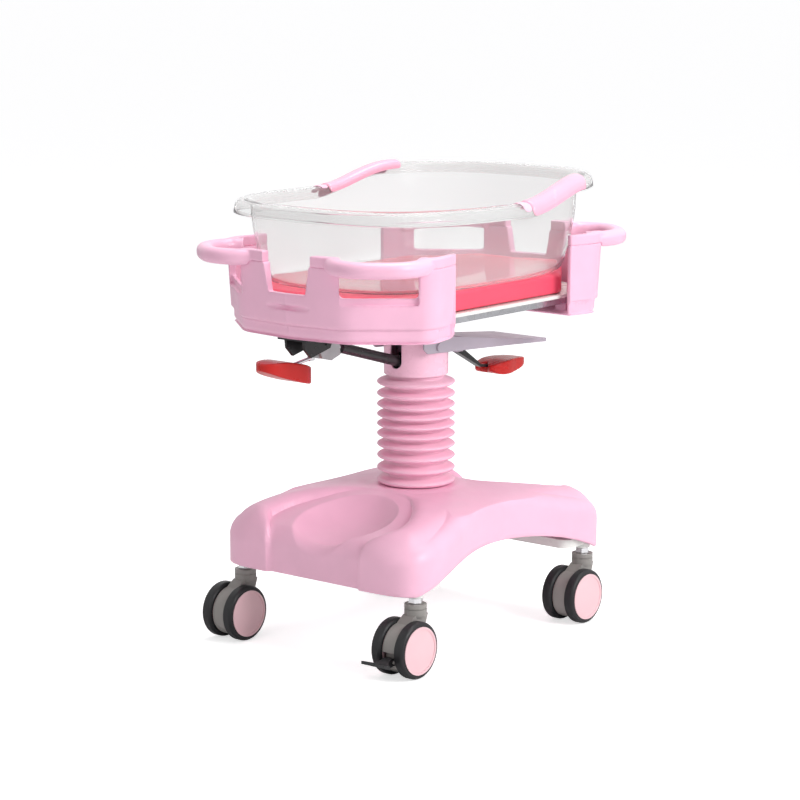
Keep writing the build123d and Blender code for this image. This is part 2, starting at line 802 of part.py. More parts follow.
# Side view of the rim: low at the foot, an S-shaped rise, then high at the head
def rim_line(lift):
    start = (-400, rim_foot + 1 + lift)
    dip = (8, rim_middle + lift)
    crest = (186, rim_head + lift)
    Line(start, dip)
    Spline(dip, crest, tangents=((1, -0.01), (1, 0.01)))
    Line(crest, (400, rim_head + lift))
    return start


def rim_band(low, high):
    with BuildPart() as band:
        with BuildSketch(Plane.YZ.offset(-300)):
            with BuildLine():
                a = rim_line(high)
                b = rim_line(low)
                Line(a, b)
                Line((400, rim_head + high), (400, rim_head + low))
            make_face()
        extrude(amount=600)
    return band


# Basin body as a lofted tub
basin_steps = [
    (0, -22, -26),
    (3, -12, -17),
    (8, -6, -10),
    (30, 0, 0),
    (70, 8, 10),
    (115, 13, 16),
    (190, 17, 20),
]


def tub(inset, lift):
    with BuildPart() as body:
        for rise, wide, tall in basin_steps:
            with BuildSketch(Plane.XY.offset(pad_top + soft_gap + rise + lift)):
                with BuildLine():
                    Spline(
                        *oval(floor_half_width + wide - inset, floor_half_length + tall - inset),
                        periodic=True,
                    )
                make_face()
        loft(ruled=True)
    return body


def rim_ring(outer, inner, low, high):
    with BuildPart() as ring:
        with BuildSketch(Plane.XY.offset(740)):
            with BuildLine():
                Spline(*oval(rim_half_width - outer, rim_half_length - outer), periodic=True)
            make_face()
            with BuildLine():
                Spline(*oval(rim_half_width - inner, rim_half_length - inner), periodic=True)
            make_face(mode=Mode.SUBTRACT)
        extrude(amount=120)
        add(rim_band(low, high).part, mode=Mode.INTERSECT)
    return ring


basin_outside = tub(0, 0)
basin_inside = tub(shell, shell)
basin_cut = rim_band(0, 100)
rim_plate = rim_ring(0, rim_land, -shell, 0)
rim_lip = rim_ring(0, shell, -rim_drop, 0)
with BuildPart() as basin:
    add(basin_outside.part)
    add(basin_cut.part, mode=Mode.SUBTRACT)
    add(rim_plate.part)
    add(rim_lip.part)
    add(basin_inside.part, mode=Mode.SUBTRACT)
basin.part.label = "basin"
export_step(basin.part, "parts/basin.step")


# Pink grip clipped over the rim where it rises, one on each long side
def rim_grip(side):
    over = rim_ring(-3.2, 26, 0, 3.5)
    skirt = rim_ring(-3.2, 0, -19, 3.5)
    tab = rim_ring(-6, 0, -24, -10)
    with BuildPart() as body:
        add(over.part)
        add(skirt.part)
        with BuildSketch(Plane.XY.offset(700)):
            with Locations((side * 240, 109)):
                Rectangle(120, 174)
        extrude(amount=200, mode=Mode.INTERSECT)
    with BuildPart() as clip:
        add(tab.part)
        with BuildSketch(Plane.XY.offset(700)):
            with Locations((side * 240, 14)):
                Rectangle(120, 20)
        extrude(amount=200, mode=Mode.INTERSECT)
    with BuildPart() as whole:
        add(body.part)
        add(clip.part)
        add(basin.part, mode=Mode.SUBTRACT)
    return whole


for tag, side in (("left", -1), ("right", 1)):
    grip = rim_grip(side)
    grip.part.label = f"rim_grip_{tag}"
    export_step(grip.part, f"parts/rim_grip_{tag}.step")


# Casters: each one a stem and nut, a housing, an axle and two wheels of tyre and hub
def caster(tag, x, y, braked):
    axle_y = y - wheel_trail
    axle_z = wheel_dia / 2
    with BuildPart() as stem:
        with BuildSketch(Plane.XY.offset(98)):
            with Locations((x, y)):
                Circle(stem_dia / 2)
        extrude(amount=52)
        with BuildSketch(Plane.XY.offset(head_top + 1)):
            with Locations((x, y)):
                RegularPolygon(13, 6)
        extrude(amount=9)
    stem.part.label = f"stem_{tag}"
    export_step(stem.part, f"parts/stem_{tag}.step")

    with BuildPart() as housing:
        with BuildSketch(Plane.YZ.offset(x - wheel_gap / 2 + 1.5)):
            with Locations((axle_y, axle_z)):
                Circle(wheel_dia / 2 - 7)
            with BuildLine():
                Polyline(
                    (axle_y - 26, axle_z + 28), (y - 18, head_top - 18),
                    (y + 18, head_top - 18), (axle_y + 36, axle_z + 20), close=True,
                )
            make_face()
        extrude(amount=wheel_gap - 3)
        with BuildSketch(Plane.XY.offset(head_top - 21)):
            with Locations((x, y)):
                Circle(head_dia / 2)
        extrude(amount=21)
        with BuildSketch(Plane.XY.offset(head_top - 9)):
            with Locations((x, y)):
                Circle(head_dia / 2 + 1)
                Circle(head_dia / 2 - 1.5, mode=Mode.SUBTRACT)
        extrude(amount=2, mode=Mode.SUBTRACT)
        with BuildSketch(Plane.YZ.offset(x - wheel_gap / 2)):
            with Locations((axle_y, axle_z)):
                Circle(axle_dia / 2)
        extrude(amount=wheel_gap, mode=Mode.SUBTRACT)
        with BuildSketch(Plane.XY.offset(96)):
            with Locations((x, y)):
                Circle(stem_dia / 2 + running)
        extrude(amount=30, mode=Mode.SUBTRACT)
        if braked:
            with BuildSketch(Plane.YZ.offset(x - wheel_gap / 2)):
                with BuildLine():
                    Polyline(
                        (axle_y - 50, 50), (axle_y - 33, 50), (axle_y - 33, 18),
                        (axle_y - 50, 18), close=True,
                    )
                make_face()
            extrude(amount=wheel_gap, mode=Mode.SUBTRACT)
            with BuildSketch(Plane.YZ.offset(x - wheel_gap / 2 + 1.5)):
                with Locations((axle_y - 40, 34)):
                    Circle(3)
                with BuildLine():
                    Polyline(
                        (axle_y - 40, 36), (axle_y - 30, 36), (axle_y - 30, 32),
                        (axle_y - 40, 32), close=True,
                    )
                make_face()
            extrude(amount=4)
            with BuildSketch(Plane.YZ.offset(x + wheel_gap / 2 - 1.5)):
                with Locations((axle_y - 40, 34)):
                    Circle(3)
                with BuildLine():
                    Polyline(
                        (axle_y - 40, 36), (axle_y - 30, 36), (axle_y - 30, 32),
                        (axle_y - 40, 32), close=True,
                    )
                make_face()
            extrude(amount=-4)
            with BuildSketch(Plane.YZ.offset(x - wheel_gap / 2 + 1.5)):
                with Locations((axle_y - 40, 34)):
                    Circle(2.5)
            extrude(amount=wheel_gap - 3)
    housing.part.label = f"housing_{tag}"
    export_step(housing.part, f"parts/housing_{tag}.step")

    overall = wheel_gap + 2 * wheel_width
    with BuildPart() as axle:
        with BuildSketch(Plane.YZ.offset(x - overall / 2 + 3)):
            with Locations((axle_y, axle_z)):
                Circle(axle_dia / 2)
        extrude(amount=overall - 6)
    axle.part.label = f"axle_{tag}"
    export_step(axle.part, f"parts/axle_{tag}.step")

    for which, start in (("a", x - overall / 2), ("b", x + wheel_gap / 2)):
        outward = -1 if which == "a" else 1
        face = start if which == "a" else start + wheel_width
        with BuildPart() as tyre:
            with BuildSketch(Plane.YZ.offset(start)):
                with Locations((axle_y, axle_z)):
                    Circle(wheel_dia / 2)
                    Circle(wheel_dia / 2 - 8, mode=Mode.SUBTRACT)
            extrude(amount=wheel_width)
            edge = tyre.edges().filter_by(GeomType.CIRCLE)
            fillet(edge.filter_by(lambda e: e.radius > wheel_dia / 2 - 1), 6)
        tyre.part.label = f"tyre_{tag}_{which}"
        export_step(tyre.part, f"parts/tyre_{tag}_{which}.step")
        with BuildPart() as hub:
            with BuildSketch(Plane.YZ.offset(start)):
                with Locations((axle_y, axle_z)):
                    Circle(wheel_dia / 2 - 8)
                    Circle(axle_dia / 2 + running, mode=Mode.SUBTRACT)
            extrude(amount=wheel_width)
            with BuildSketch(Plane.YZ.offset(face - outward * 3)):
                with Locations((axle_y, axle_z)):
                    Circle(axle_dia / 2 + 1)
            extrude(amount=outward * 3)
            with BuildSketch(Plane.YZ.offset(face)):
                with Locations((axle_y, axle_z)):
                    Circle(wheel_dia / 2 - 8)
                    Circle(wheel_dia / 2 - 12, mode=Mode.SUBTRACT)
            extrude(amount=outward * 1.2)
            with BuildSketch(Plane.YZ.offset(start + wheel_width if outward < 0 else start)):
                with Locations((axle_y, axle_z)):
                    Circle(wheel_dia / 2 - 12)
                    Circle(axle_dia, mode=Mode.SUBTRACT)
            extrude(amount=outward * 12, mode=Mode.SUBTRACT)
        hub.part.label = f"hub_{tag}_{which}"
        export_step(hub.part, f"parts/hub_{tag}_{which}.step")

    if braked:
        with BuildPart() as pedal:
            with BuildSketch(Plane.XY.offset(20)):
                with BuildLine():
                    Polyline(
                        (x - 9, axle_y - 36), (x - 9, axle_y - 54), (x - 30, axle_y - 74),
                        (x - 26, axle_y - 84), (x, axle_y - 78), (x + 26, axle_y - 84),
                        (x + 30, axle_y - 74), (x + 9, axle_y - 54), (x + 9, axle_y - 36),
                        close=True,
                    )
                make_face()
            extrude(amount=30)
            with BuildSketch(Plane.YZ.offset(x - 60)):
                with BuildLine():
                    Polyline(
                        (axle_y - 35.5, 40), (axle_y - 46, 41), (axle_y - 62, 34), (axle_y - 90, 42),
                        (axle_y - 90, 37), (axle_y - 62, 27), (axle_y - 48, 26), (axle_y - 35.5, 28),
                        close=True,
                    )
                make_face()
            extrude(amount=120, mode=Mode.INTERSECT)
            with BuildSketch(Plane.YZ.offset(x - 60)):
                with Locations((axle_y - 40, 34)):
                    Circle(2.5 + running)
            extrude(amount=120, mode=Mode.SUBTRACT)
        pedal.part.label = f"brake_pedal_{tag}"
        export_step(pedal.part, f"parts/brake_pedal_{tag}.step")


caster("fl", -caster_x, -caster_y, False)
caster("fr", caster_x, -caster_y, True)
caster("hl", -caster_x, caster_y, True)
caster("hr", caster_x, caster_y, False)
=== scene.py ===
import bpy, bmesh, math, json
import numpy as np
from mathutils import Vector, Matrix


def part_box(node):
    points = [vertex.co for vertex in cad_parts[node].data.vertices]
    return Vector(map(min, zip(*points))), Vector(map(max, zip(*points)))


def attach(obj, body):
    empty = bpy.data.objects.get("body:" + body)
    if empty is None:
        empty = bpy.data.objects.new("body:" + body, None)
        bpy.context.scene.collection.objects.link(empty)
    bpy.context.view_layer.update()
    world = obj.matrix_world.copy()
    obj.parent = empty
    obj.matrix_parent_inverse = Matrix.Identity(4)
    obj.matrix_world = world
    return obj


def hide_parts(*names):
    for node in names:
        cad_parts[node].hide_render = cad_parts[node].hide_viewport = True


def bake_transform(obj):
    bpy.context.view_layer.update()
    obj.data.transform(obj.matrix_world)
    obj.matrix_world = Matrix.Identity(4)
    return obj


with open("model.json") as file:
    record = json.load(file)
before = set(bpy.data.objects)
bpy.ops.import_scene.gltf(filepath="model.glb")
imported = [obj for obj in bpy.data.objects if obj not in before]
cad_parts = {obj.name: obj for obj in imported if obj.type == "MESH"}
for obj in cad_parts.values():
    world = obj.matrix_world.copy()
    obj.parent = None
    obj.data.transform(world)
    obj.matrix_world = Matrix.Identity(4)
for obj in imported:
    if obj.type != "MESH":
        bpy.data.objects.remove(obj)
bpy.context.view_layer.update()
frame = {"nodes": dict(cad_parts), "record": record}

N = frame["nodes"]
BODY_OF = {n: b for b, ns in frame["record"]["behaviour"]["bodies"].items() for n in ns}
scene = bpy.context.scene
scene.view_settings.view_transform = "Standard"
MM = 0.001


# Camera
def aim(obj, back, up=(0, 0, 1)):
    z = Vector(back).normalized()
    x = Vector(up).cross(z).normalized()
    y = z.cross(x)
    obj.rotation_euler = Matrix((x, y, z)).transposed().to_euler()


cam = bpy.data.objects.new("camera", bpy.data.cameras.new("camera"))
scene.collection.objects.link(cam)
cam.location = (3.1478, -3.8479, 1.3262)
cam.data.sensor_width = 36
cam.data.lens = 125.4
cam.data.clip_end = 50
aim(cam, (0.62738, -0.75784, 0.17914))
scene.camera = cam


# Materials
def tree(name):
    m = bpy.data.materials.new(name)
    m.use_nodes = True
    nt = m.node_tree
    return m, nt, nt.nodes["Principled BSDF"], nt.nodes["Material Output"]


def noise(nt, scale, detail=3, rough=0.5, stretch=None):
    co = nt.nodes.new("ShaderNodeTexCoord")
    n = nt.nodes.new("ShaderNodeTexNoise")
    n.inputs["Scale"].default_value = scale
    n.inputs["Detail"].default_value = detail
    n.inputs["Roughness"].default_value = rough
    out = co.outputs["Object"]
    if stretch:
        mp = nt.nodes.new("ShaderNodeMapping")
        mp.inputs["Scale"].default_value = stretch
        nt.links.new(out, mp.inputs["Vector"])
        out = mp.outputs["Vector"]
    nt.links.new(out, n.inputs["Vector"])
    return n.outputs["Fac"]


# The middle of a noise's values, which a range or a ramp is spread over
NOISE_LOW, NOISE_HIGH = 0.35, 0.65


def ranged(nt, fac, low, high):
    r = nt.nodes.new("ShaderNodeMapRange")
    r.inputs["From Min"].default_value = NOISE_LOW
    r.inputs["From Max"].default_value = NOISE_HIGH
    r.inputs["To Min"].default_value = low
    r.inputs["To Max"].default_value = high
    nt.links.new(fac, r.inputs["Value"])
    return r.outputs["Result"]


def two_tone(nt, fac, c1, c2):
    r = nt.nodes.new("ShaderNodeValToRGB")
    r.color_ramp.elements[0].position = NOISE_LOW
    r.color_ramp.elements[1].position = NOISE_HIGH
    r.color_ramp.elements[0].color = (*c1, 1)
    r.color_ramp.elements[1].color = (*c2, 1)
    nt.links.new(fac, r.inputs["Fac"])
    return r.outputs["Color"]


def larger(nt, a, b):
    m = nt.nodes.new("ShaderNodeMath")
    m.operation = "MAXIMUM"
    nt.links.new(a, m.inputs[0])
    nt.links.new(b, m.inputs[1])
    return m.outputs[0]


def mixed(nt, share, a, b):
    m = nt.nodes.new("ShaderNodeMixShader")
    if isinstance(share, float):
        m.inputs[0].default_value = share
    else:
        nt.links.new(share, m.inputs[0])
    nt.links.new(a, m.inputs[1])
    nt.links.new(b, m.inputs[2])
    return m.outputs[0]


def srgb(*levels):
    parts = [v / 255 for v in levels]
    return tuple(v / 12.92 if v <= 0.04045 else ((v + 0.055) / 1.055) ** 2.4 for v in parts)


def surface(name, colour, rough=0.4, metal=0.0, vary=0.04, grain=900, bump=0.05, depth=0.0002,
            patch=18, coat=0.0, spread=0.06, stretch=None, spec=0.5):
    m, nt, p, out = tree(name)
    c1 = tuple(max(0, v * (1 - vary)) for v in colour)
    c2 = tuple(min(1, v * (1 + vary)) for v in colour)
    nt.links.new(two_tone(nt, noise(nt, patch, 4), c1, c2), p.inputs["Base Color"])
    blotches = noise(nt, patch * 2.3, 5, 0.6)
    nt.links.new(ranged(nt, blotches, max(0.02, rough - spread), rough + spread), p.inputs["Roughness"])
    p.inputs["Metallic"].default_value = metal
    p.inputs["Specular IOR Level"].default_value = spec
    p.inputs["Coat Weight"].default_value = coat
    p.inputs["Coat Roughness"].default_value = 0.12
    b = nt.nodes.new("ShaderNodeBump")
    b.inputs["Strength"].default_value = bump
    b.inputs["Distance"].default_value = depth
    nt.links.new(noise(nt, grain, 2, 0.6, stretch), b.inputs["Height"])
    nt.links.new(b.outputs["Normal"], p.inputs["Normal"])
    return m


pink_shell = surface("pink_shell", srgb(250, 194, 219), 0.34, vary=0.02, bump=0.08, grain=700, spec=0.45)
pink_base = surface("pink_base", srgb(249, 193, 217), 0.38, vary=0.02, bump=0.12, grain=700, spec=0.4)
pink_paint = surface("pink_paint", srgb(250, 198, 219), 0.28, vary=0.015, bump=0.06, grain=300, coat=0.3)
pink_rubber = surface("pink_rubber", srgb(250, 199, 219), 0.5, vary=0.03, bump=0.2, grain=1100, spec=0.35)
pink_grip = surface("pink_grip", srgb(250, 182, 205), 0.22, vary=0.015, bump=0.05, coat=0.2)
red_plastic = surface("red_plastic", srgb(198, 32, 28), 0.3, vary=0.05, bump=0.1, grain=500, spec=0.35)
grey_paint = surface("grey_paint", srgb(182, 172, 184), 0.35, vary=0.03, bump=0.1, grain=500, metal=0.2)
black_paint = surface("black_paint", srgb(26, 25, 27), 0.32, vary=0.2, bump=0.1, grain=400)
black_plastic = surface("black_plastic", srgb(34, 34, 36), 0.45, vary=0.15, bump=0.25, grain=900)
tyre_rubber = surface("tyre_rubber", srgb(36, 36, 38), 0.4, vary=0.12, bump=0.35, grain=1300, spec=0.3)
grey_plastic = surface("grey_plastic", srgb(150, 146, 142), 0.42, vary=0.05, bump=0.2, grain=900)
cap_plastic = surface("cap_plastic", srgb(238, 198, 204), 0.36, vary=0.02, bump=0.06, grain=600)
steel = surface("steel", srgb(200, 200, 204), 0.28, 1.0, 0.04, bump=0.15, grain=240, stretch=(1, 1, 14))
chrome = surface("chrome", srgb(222, 222, 224), 0.14, 1.0, 0.03, bump=0.05, grain=260, spread=0.04)
cast_metal = surface("cast_metal", srgb(176, 174, 176), 0.42, 0.9, 0.1, bump=0.6, grain=420, depth=0.0004)
white_sheet = surface("white_sheet", srgb(236, 236, 232), 0.3, vary=0.02, bump=0.05)
coral = surface("coral_vinyl", srgb(245, 86, 112), 0.42, vary=0.04, bump=0.35, grain=520,
                depth=0.0004, patch=9, spec=0.4)


# Clear plastic with a faint haze, which lets light through to what stands in it
def acrylic():
    m, nt, p, out = tree("clear_acrylic")
    nt.links.new(ranged(nt, noise(nt, 6, 4), 0.02, 0.05), p.inputs["Roughness"])
    p.inputs["Base Color"].default_value = (0.945, 0.95, 0.945, 1)
    p.inputs["Transmission Weight"].default_value = 1
    p.inputs["IOR"].default_value = 1.14
    haze = nt.nodes.new("ShaderNodeBsdfDiffuse")
    haze.inputs["Color"].default_value = (0.82, 0.82, 0.82, 1)
    clear = nt.nodes.new("ShaderNodeBsdfTransparent")
    clear.inputs["Color"].default_value = (0.84, 0.84, 0.845, 1)
    path = nt.nodes.new("ShaderNodeLightPath")
    unseen = larger(nt, path.outputs["Is Shadow Ray"], path.outputs["Is Diffuse Ray"])
    hazy = mixed(nt, 0.1, p.outputs[0], haze.outputs[0])
    nt.links.new(mixed(nt, unseen, hazy, clear.outputs[0]), out.inputs["Surface"])
    return m


clear_acrylic = acrylic()


def paint(obj, material):
    obj.data.materials.clear()
    obj.data.materials.append(material)


def link(name, mesh):
    o = bpy.data.objects.new(name, mesh)
    scene.collection.objects.link(o)
    return o


def smooth(obj, angle=None):
    for f in obj.data.polygons:
        f.use_smooth = True
    if angle:
        bpy.context.view_layer.objects.active = obj
        with bpy.context.temp_override(object=obj, selected_editable_objects=[obj], active_object=obj):
            bpy.ops.object.shade_smooth_by_angle(angle=math.radians(angle))


def baked(obj):
    bpy.context.view_layer.update()
    dg = bpy.context.evaluated_depsgraph_get()
    mesh = bpy.data.meshes.new_from_object(obj.evaluated_get(dg))
    obj.modifiers.clear()
    obj.data = mesh
    return obj


# A CAD moulding melted into a soft-edged one of the same size
def soften(node, material, voxel, rounds, relief=None):
    o = link(node + "_shell", N[node].data.copy())
    r = o.modifiers.new("r", "REMESH")
    r.mode = "VOXEL"
    r.voxel_size = voxel
    s = o.modifiers.new("s", "SMOOTH")
    s.factor = 0.5
    s.iterations = rounds
    baked(o)
    if relief:
        place = np.array([v.co for v in o.data.vertices])
        normal = np.array([v.normal for v in o.data.vertices])
        o.data.vertices.foreach_set("co", relief(place, normal).ravel())
        o.data.update()
    smooth(o)
    paint(o, material)
    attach(o, BODY_OF[node])
    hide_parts(node)


# Tray walls lean in from the top down to a grooved belt over a narrower band, in millimetres
TRAY_TOP, BELT, LEAN = 704, 600, 6
BAND_INSET, GROOVE_DEPTH, GROOVE_HALF = 2.6, 3.4, 1.7


def tray_relief(place, normal):
    z = place[:, 2] / MM
    flat = normal[:, :2]
    level = np.linalg.norm(flat, axis=1)
    away = place[:, :2] / np.maximum(np.linalg.norm(place[:, :2], axis=1, keepdims=True), 1e-6)
    outer = np.clip((np.sum(flat * away, axis=1) - 0.25) / 0.3, 0, 1)
    inset = LEAN * np.clip((TRAY_TOP - z) / (TRAY_TOP - BELT), 0, 1)
    inset += BAND_INSET * np.clip((BELT + 1 - z) / 2, 0, 1)
    inset += GROOVE_DEPTH * np.exp(-(((z - BELT) / GROOVE_HALF) ** 2))
    way = flat / np.maximum(level, 1e-6)[:, None]
    place[:, :2] -= way * (inset * outer * MM)[:, None]
    return place


for node in ("foot_tray", "head_tray"):
    soften(node, pink_shell, 0.002, 4, relief=tray_relief)
for tag in ("fl", "fr", "hl", "hr"):
    soften("handle_" + tag, pink_shell, 0.002, 5)
for node in ("lift_paddle", "tilt_paddle"):
    soften(node, red_plastic, 0.0016, 5)


# Surface through closed loops of equal length, capped at both ends or joined last to first
def lofted(name, rows, loop_rows=False):
    bm = bmesh.new()
    rings = [[bm.verts.new(p) for p in row] for row in rows]
    count = len(rings[0])
    pairs = list(zip(rings, rings[1:]))
    if loop_rows:
        pairs.append((rings[-1], rings[0]))
    for a, b in pairs:
        for k in range(count):
            bm.faces.new((a[k], a[(k + 1) % count], b[(k + 1) % count], b[k]))
    if not loop_rows:
        bm.faces.new(list(reversed(rings[0])))
        bm.faces.new(rings[-1])
    bmesh.ops.recalc_face_normals(bm, faces=bm.faces)
    mesh = bpy.data.meshes.new(name)
    bm.to_mesh(mesh)
    bm.free()
    return link(name, mesh)


def circle(radius, z, count=96):
    turn = [2 * math.pi * k / count for k in range(count)]
    return [(radius * math.cos(t), radius * math.sin(t), z) for t in turn]


def step(x, low, high):
    u = np.clip((x - low) / (high - low), 0, 1)
    return u * u * (3 - 2 * u)


def quarter(u):
    u = np.clip(u, 0, 1)
    return np.sqrt(np.maximum(1 - (1 - u) ** 2, 0))


# Moulded base in millimetres: waisted plan, four rounded lobes, a lower scoop at each end, arched
# skirt and one round bowl at the foot end
TURNS, ROUNDS, EDGE_SAMPLES = 600, 150, 3600
PLAN_HALF_WIDTH, PLAN_HALF_LENGTH, PLAN_POWER = 236.0, 290.0, 8.0
WAIST, WAIST_REACH, WAIST_POWER = 0.205, 300, 2.4
COLLAR_START, COLLAR_RADIUS, COLLAR_RISE, COLLAR_FADE = 62, 76, 2.5, 20
HOOD_TOP, HOOD_POWER = 267, 1.9
END_FALL, END_FALL_FROM, END_FALL_LENGTH = 22, 110, 180
SIDE_FALL, SIDE_FALL_FROM, SIDE_FALL_LENGTH = 26, 70, 166
LOBE_ROUND, LOBE_DROP = 50, 52
SCOOP_START, SCOOP_ROUND, SCOOP_DROP, SCOOP_RECESS, CREASE_ROUND = 84, 26, 30, 8, 34
BOWL_Y, BOWL_RADIUS, BOWL_DEPTH, BOWL_POWER = -197, 94, 34, 2.8
SKIRT_LOW, ARCH_RISE, ARCH_REACH, ARCH_POWER, WALL = 139, 46, 262, 2.2, 7
HEAD_DROP, HEAD_DROP_FROM, HEAD_DROP_TO = 5, 150, 280
CEILING, SHAFT_RADIUS, SHAFT_TOP = 187, 50, 262
# Scoops: half the width inside the edge, and the height, at distances from the middle
CREASE_Y = [84, 92, 104, 122, 150, 184, 212, 236, 256, 270, 282, 292]
CREASE_X = [0, 50, 74, 92, 114, 132, 140, 141, 130, 116, 108, 106]
FALL_Y = [80, 92, 150, 218, 262, 300]
FALL_Z = [268, 264, 247, 231, 221, 212]


def base_plan(t):
    across = (np.abs(np.cos(t)) / PLAN_HALF_WIDTH) ** PLAN_POWER
    along = (np.abs(np.sin(t)) / PLAN_HALF_LENGTH) ** PLAN_POWER
    reach = (across + along) ** (-1 / PLAN_POWER)
    x, y = reach * np.cos(t), reach * np.sin(t)
    x = x * (1 - WAIST * np.cos(np.pi * np.clip(y / WAIST_REACH, -1, 1) / 2) ** WAIST_POWER)
    inside = np.interp(np.abs(y), CREASE_Y, CREASE_X) - np.abs(x)
    y = y - np.sign(y) * SCOOP_RECESS * step(inside, -3, 5) * (np.abs(y) > 240)
    return x, y


def base_top(x, y, gap):
    hood = HOOD_TOP - END_FALL * np.clip((np.abs(y) - END_FALL_FROM) / END_FALL_LENGTH, 0, 1) ** HOOD_POWER
    hood -= SIDE_FALL * np.clip((np.abs(x) - SIDE_FALL_FROM) / SIDE_FALL_LENGTH, 0, 1) ** HOOD_POWER
    hood += COLLAR_RISE * step(-np.hypot(x, y), -COLLAR_RADIUS - COLLAR_FADE, -COLLAR_RADIUS)
    lobe = hood - LOBE_DROP * (1 - quarter(gap / LOBE_ROUND))
    fall = np.interp(np.abs(y), FALL_Y, FALL_Z)
    scoop = np.minimum(fall - SCOOP_DROP * (1 - quarter(gap / SCOOP_ROUND)), hood)
    outside = np.abs(x) - np.interp(np.abs(y), CREASE_Y, CREASE_X, left=-60)
    outside = np.where(np.abs(y) < SCOOP_START, 60, outside)
    top = scoop + np.maximum(lobe - scoop, 0) * quarter((outside + 1) / CREASE_ROUND)
    bowl = np.clip(np.hypot(x, y - BOWL_Y) / BOWL_RADIUS, 0, 1)
    return top - BOWL_DEPTH * (1 - bowl ** BOWL_POWER)


def base_skin():
    t = np.linspace(0, 2 * np.pi, TURNS, endpoint=False)
    ex, ey = base_plan(t)
    s = 1 - (1 - np.linspace(0, 1, ROUNDS)) ** 1.5
    x = COLLAR_START * np.cos(t)[None, :] * (1 - s[:, None]) + ex[None, :] * s[:, None]
    y = COLLAR_START * np.sin(t)[None, :] * (1 - s[:, None]) + ey[None, :] * s[:, None]
    edge_x, edge_y = base_plan(np.linspace(0, 2 * np.pi, EDGE_SAMPLES, endpoint=False))
    gap = np.array([
        np.sqrt(np.min((row_x[:, None] - edge_x) ** 2 + (row_y[:, None] - edge_y) ** 2, axis=1))
        for row_x, row_y in zip(x, y)
    ])
    gap[-1] = 0
    top = base_top(x, y, gap)

    arch = ARCH_RISE * (1 - np.clip(np.abs(ey) / ARCH_REACH, 0, 1) ** ARCH_POWER)
    skirt = SKIRT_LOW + arch - HEAD_DROP * step(ey, HEAD_DROP_FROM, HEAD_DROP_TO)
    rows = [np.stack([x[i], y[i], top[i]], -1) for i in range(ROUNDS)]
    for k in range(1, 9):
        rows.append(np.stack([ex, ey, top[-1] + (skirt + 2 - top[-1]) * k / 8], -1))
    inward = WALL / np.hypot(ex, ey)
    level = np.full(TURNS, float(CEILING))
    under = ((0.22, skirt + 0.2), (1, skirt), (1, np.maximum(skirt, 150)), (1.4, level))
    for share, z in under:
        k = 1 - inward * share
        rows.append(np.stack([ex * k, ey * k, np.maximum(z, skirt)], -1))
    for z in (CEILING, SHAFT_TOP):
        rows.append(np.stack([SHAFT_RADIUS * np.cos(t), SHAFT_RADIUS * np.sin(t), z + 0 * t], -1))
    o = lofted("base_hood", [[tuple(p * MM) for p in row] for row in rows], loop_rows=True)
    smooth(o, 40)
    paint(o, pink_base)
    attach(o, "base")
    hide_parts("base_cover")


# Bellows: ten rounded rings between the cover's collar and the column's sleeve, wider spaced at
# both ends. From the top down, each pitch starts with a valley
RINGS, RING_STEPS, VALLEY = 10, 14, 0.38
RING_ROOT, RING_WALL = 0.05, 0.002
SWAY, SWAY_PHASE = 0.022, 0.06


def bellows():
    low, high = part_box("bellows")
    bottom, top, crest = low.z, high.z, high.x

    def height(k):
        share = k / RINGS
        sway = SWAY * (math.sin(2 * math.pi * (share + SWAY_PHASE)) - math.sin(2 * math.pi * SWAY_PHASE))
        return top - (top - bottom) * (share + sway)

    outside = []
    for k in range(RINGS):
        for s in range(RING_STEPS):
            u = s / RING_STEPS
            z = height(k) + (height(k + 1) - height(k)) * u
            lobe = max(0.0, math.sin(math.pi * (u - VALLEY) / (1 - VALLEY))) if u > VALLEY else 0.0
            outside.append((RING_ROOT + (crest - RING_ROOT) * lobe ** 0.4, z))
    outside.append((RING_ROOT, bottom))
    profile = outside + [(r - RING_WALL, z) for r, z in reversed(outside)]
    o = lofted("bellows_skin", [circle(r, z) for r, z in profile], loop_rows=True)
    smooth(o)
    paint(o, pink_rubber)
    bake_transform(o)
    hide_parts("bellows")


base_skin()
bellows()


# Clear basin with a rolled rim, in metres: level at the head, a slope, and a slight rise to the foot
RIM_FOOT, RIM_HEAD, FOOT_RISE, FOOT_REACH = 0.795, 0.828, 0.005, 0.342
SLOPE_START, SLOPE_LENGTH, OVAL_POWER, BASIN_TURNS = 0.008, 0.178, 3, 192


def rim_height(y):
    foot = RIM_FOOT - FOOT_RISE * min(0.0, y - SLOPE_START) / FOOT_REACH
    u = min(1.0, max(0.0, (y - SLOPE_START) / SLOPE_LENGTH))
    return foot + (RIM_HEAD - RIM_FOOT) * u * u * (3 - 2 * u)


def oval_at(a, b, t):
    c, s = math.cos(t), math.sin(t)
    reach = (abs(c / a) ** OVAL_POWER + abs(s / b) ** OVAL_POWER) ** (-1 / OVAL_POWER)
    return reach * c, reach * s


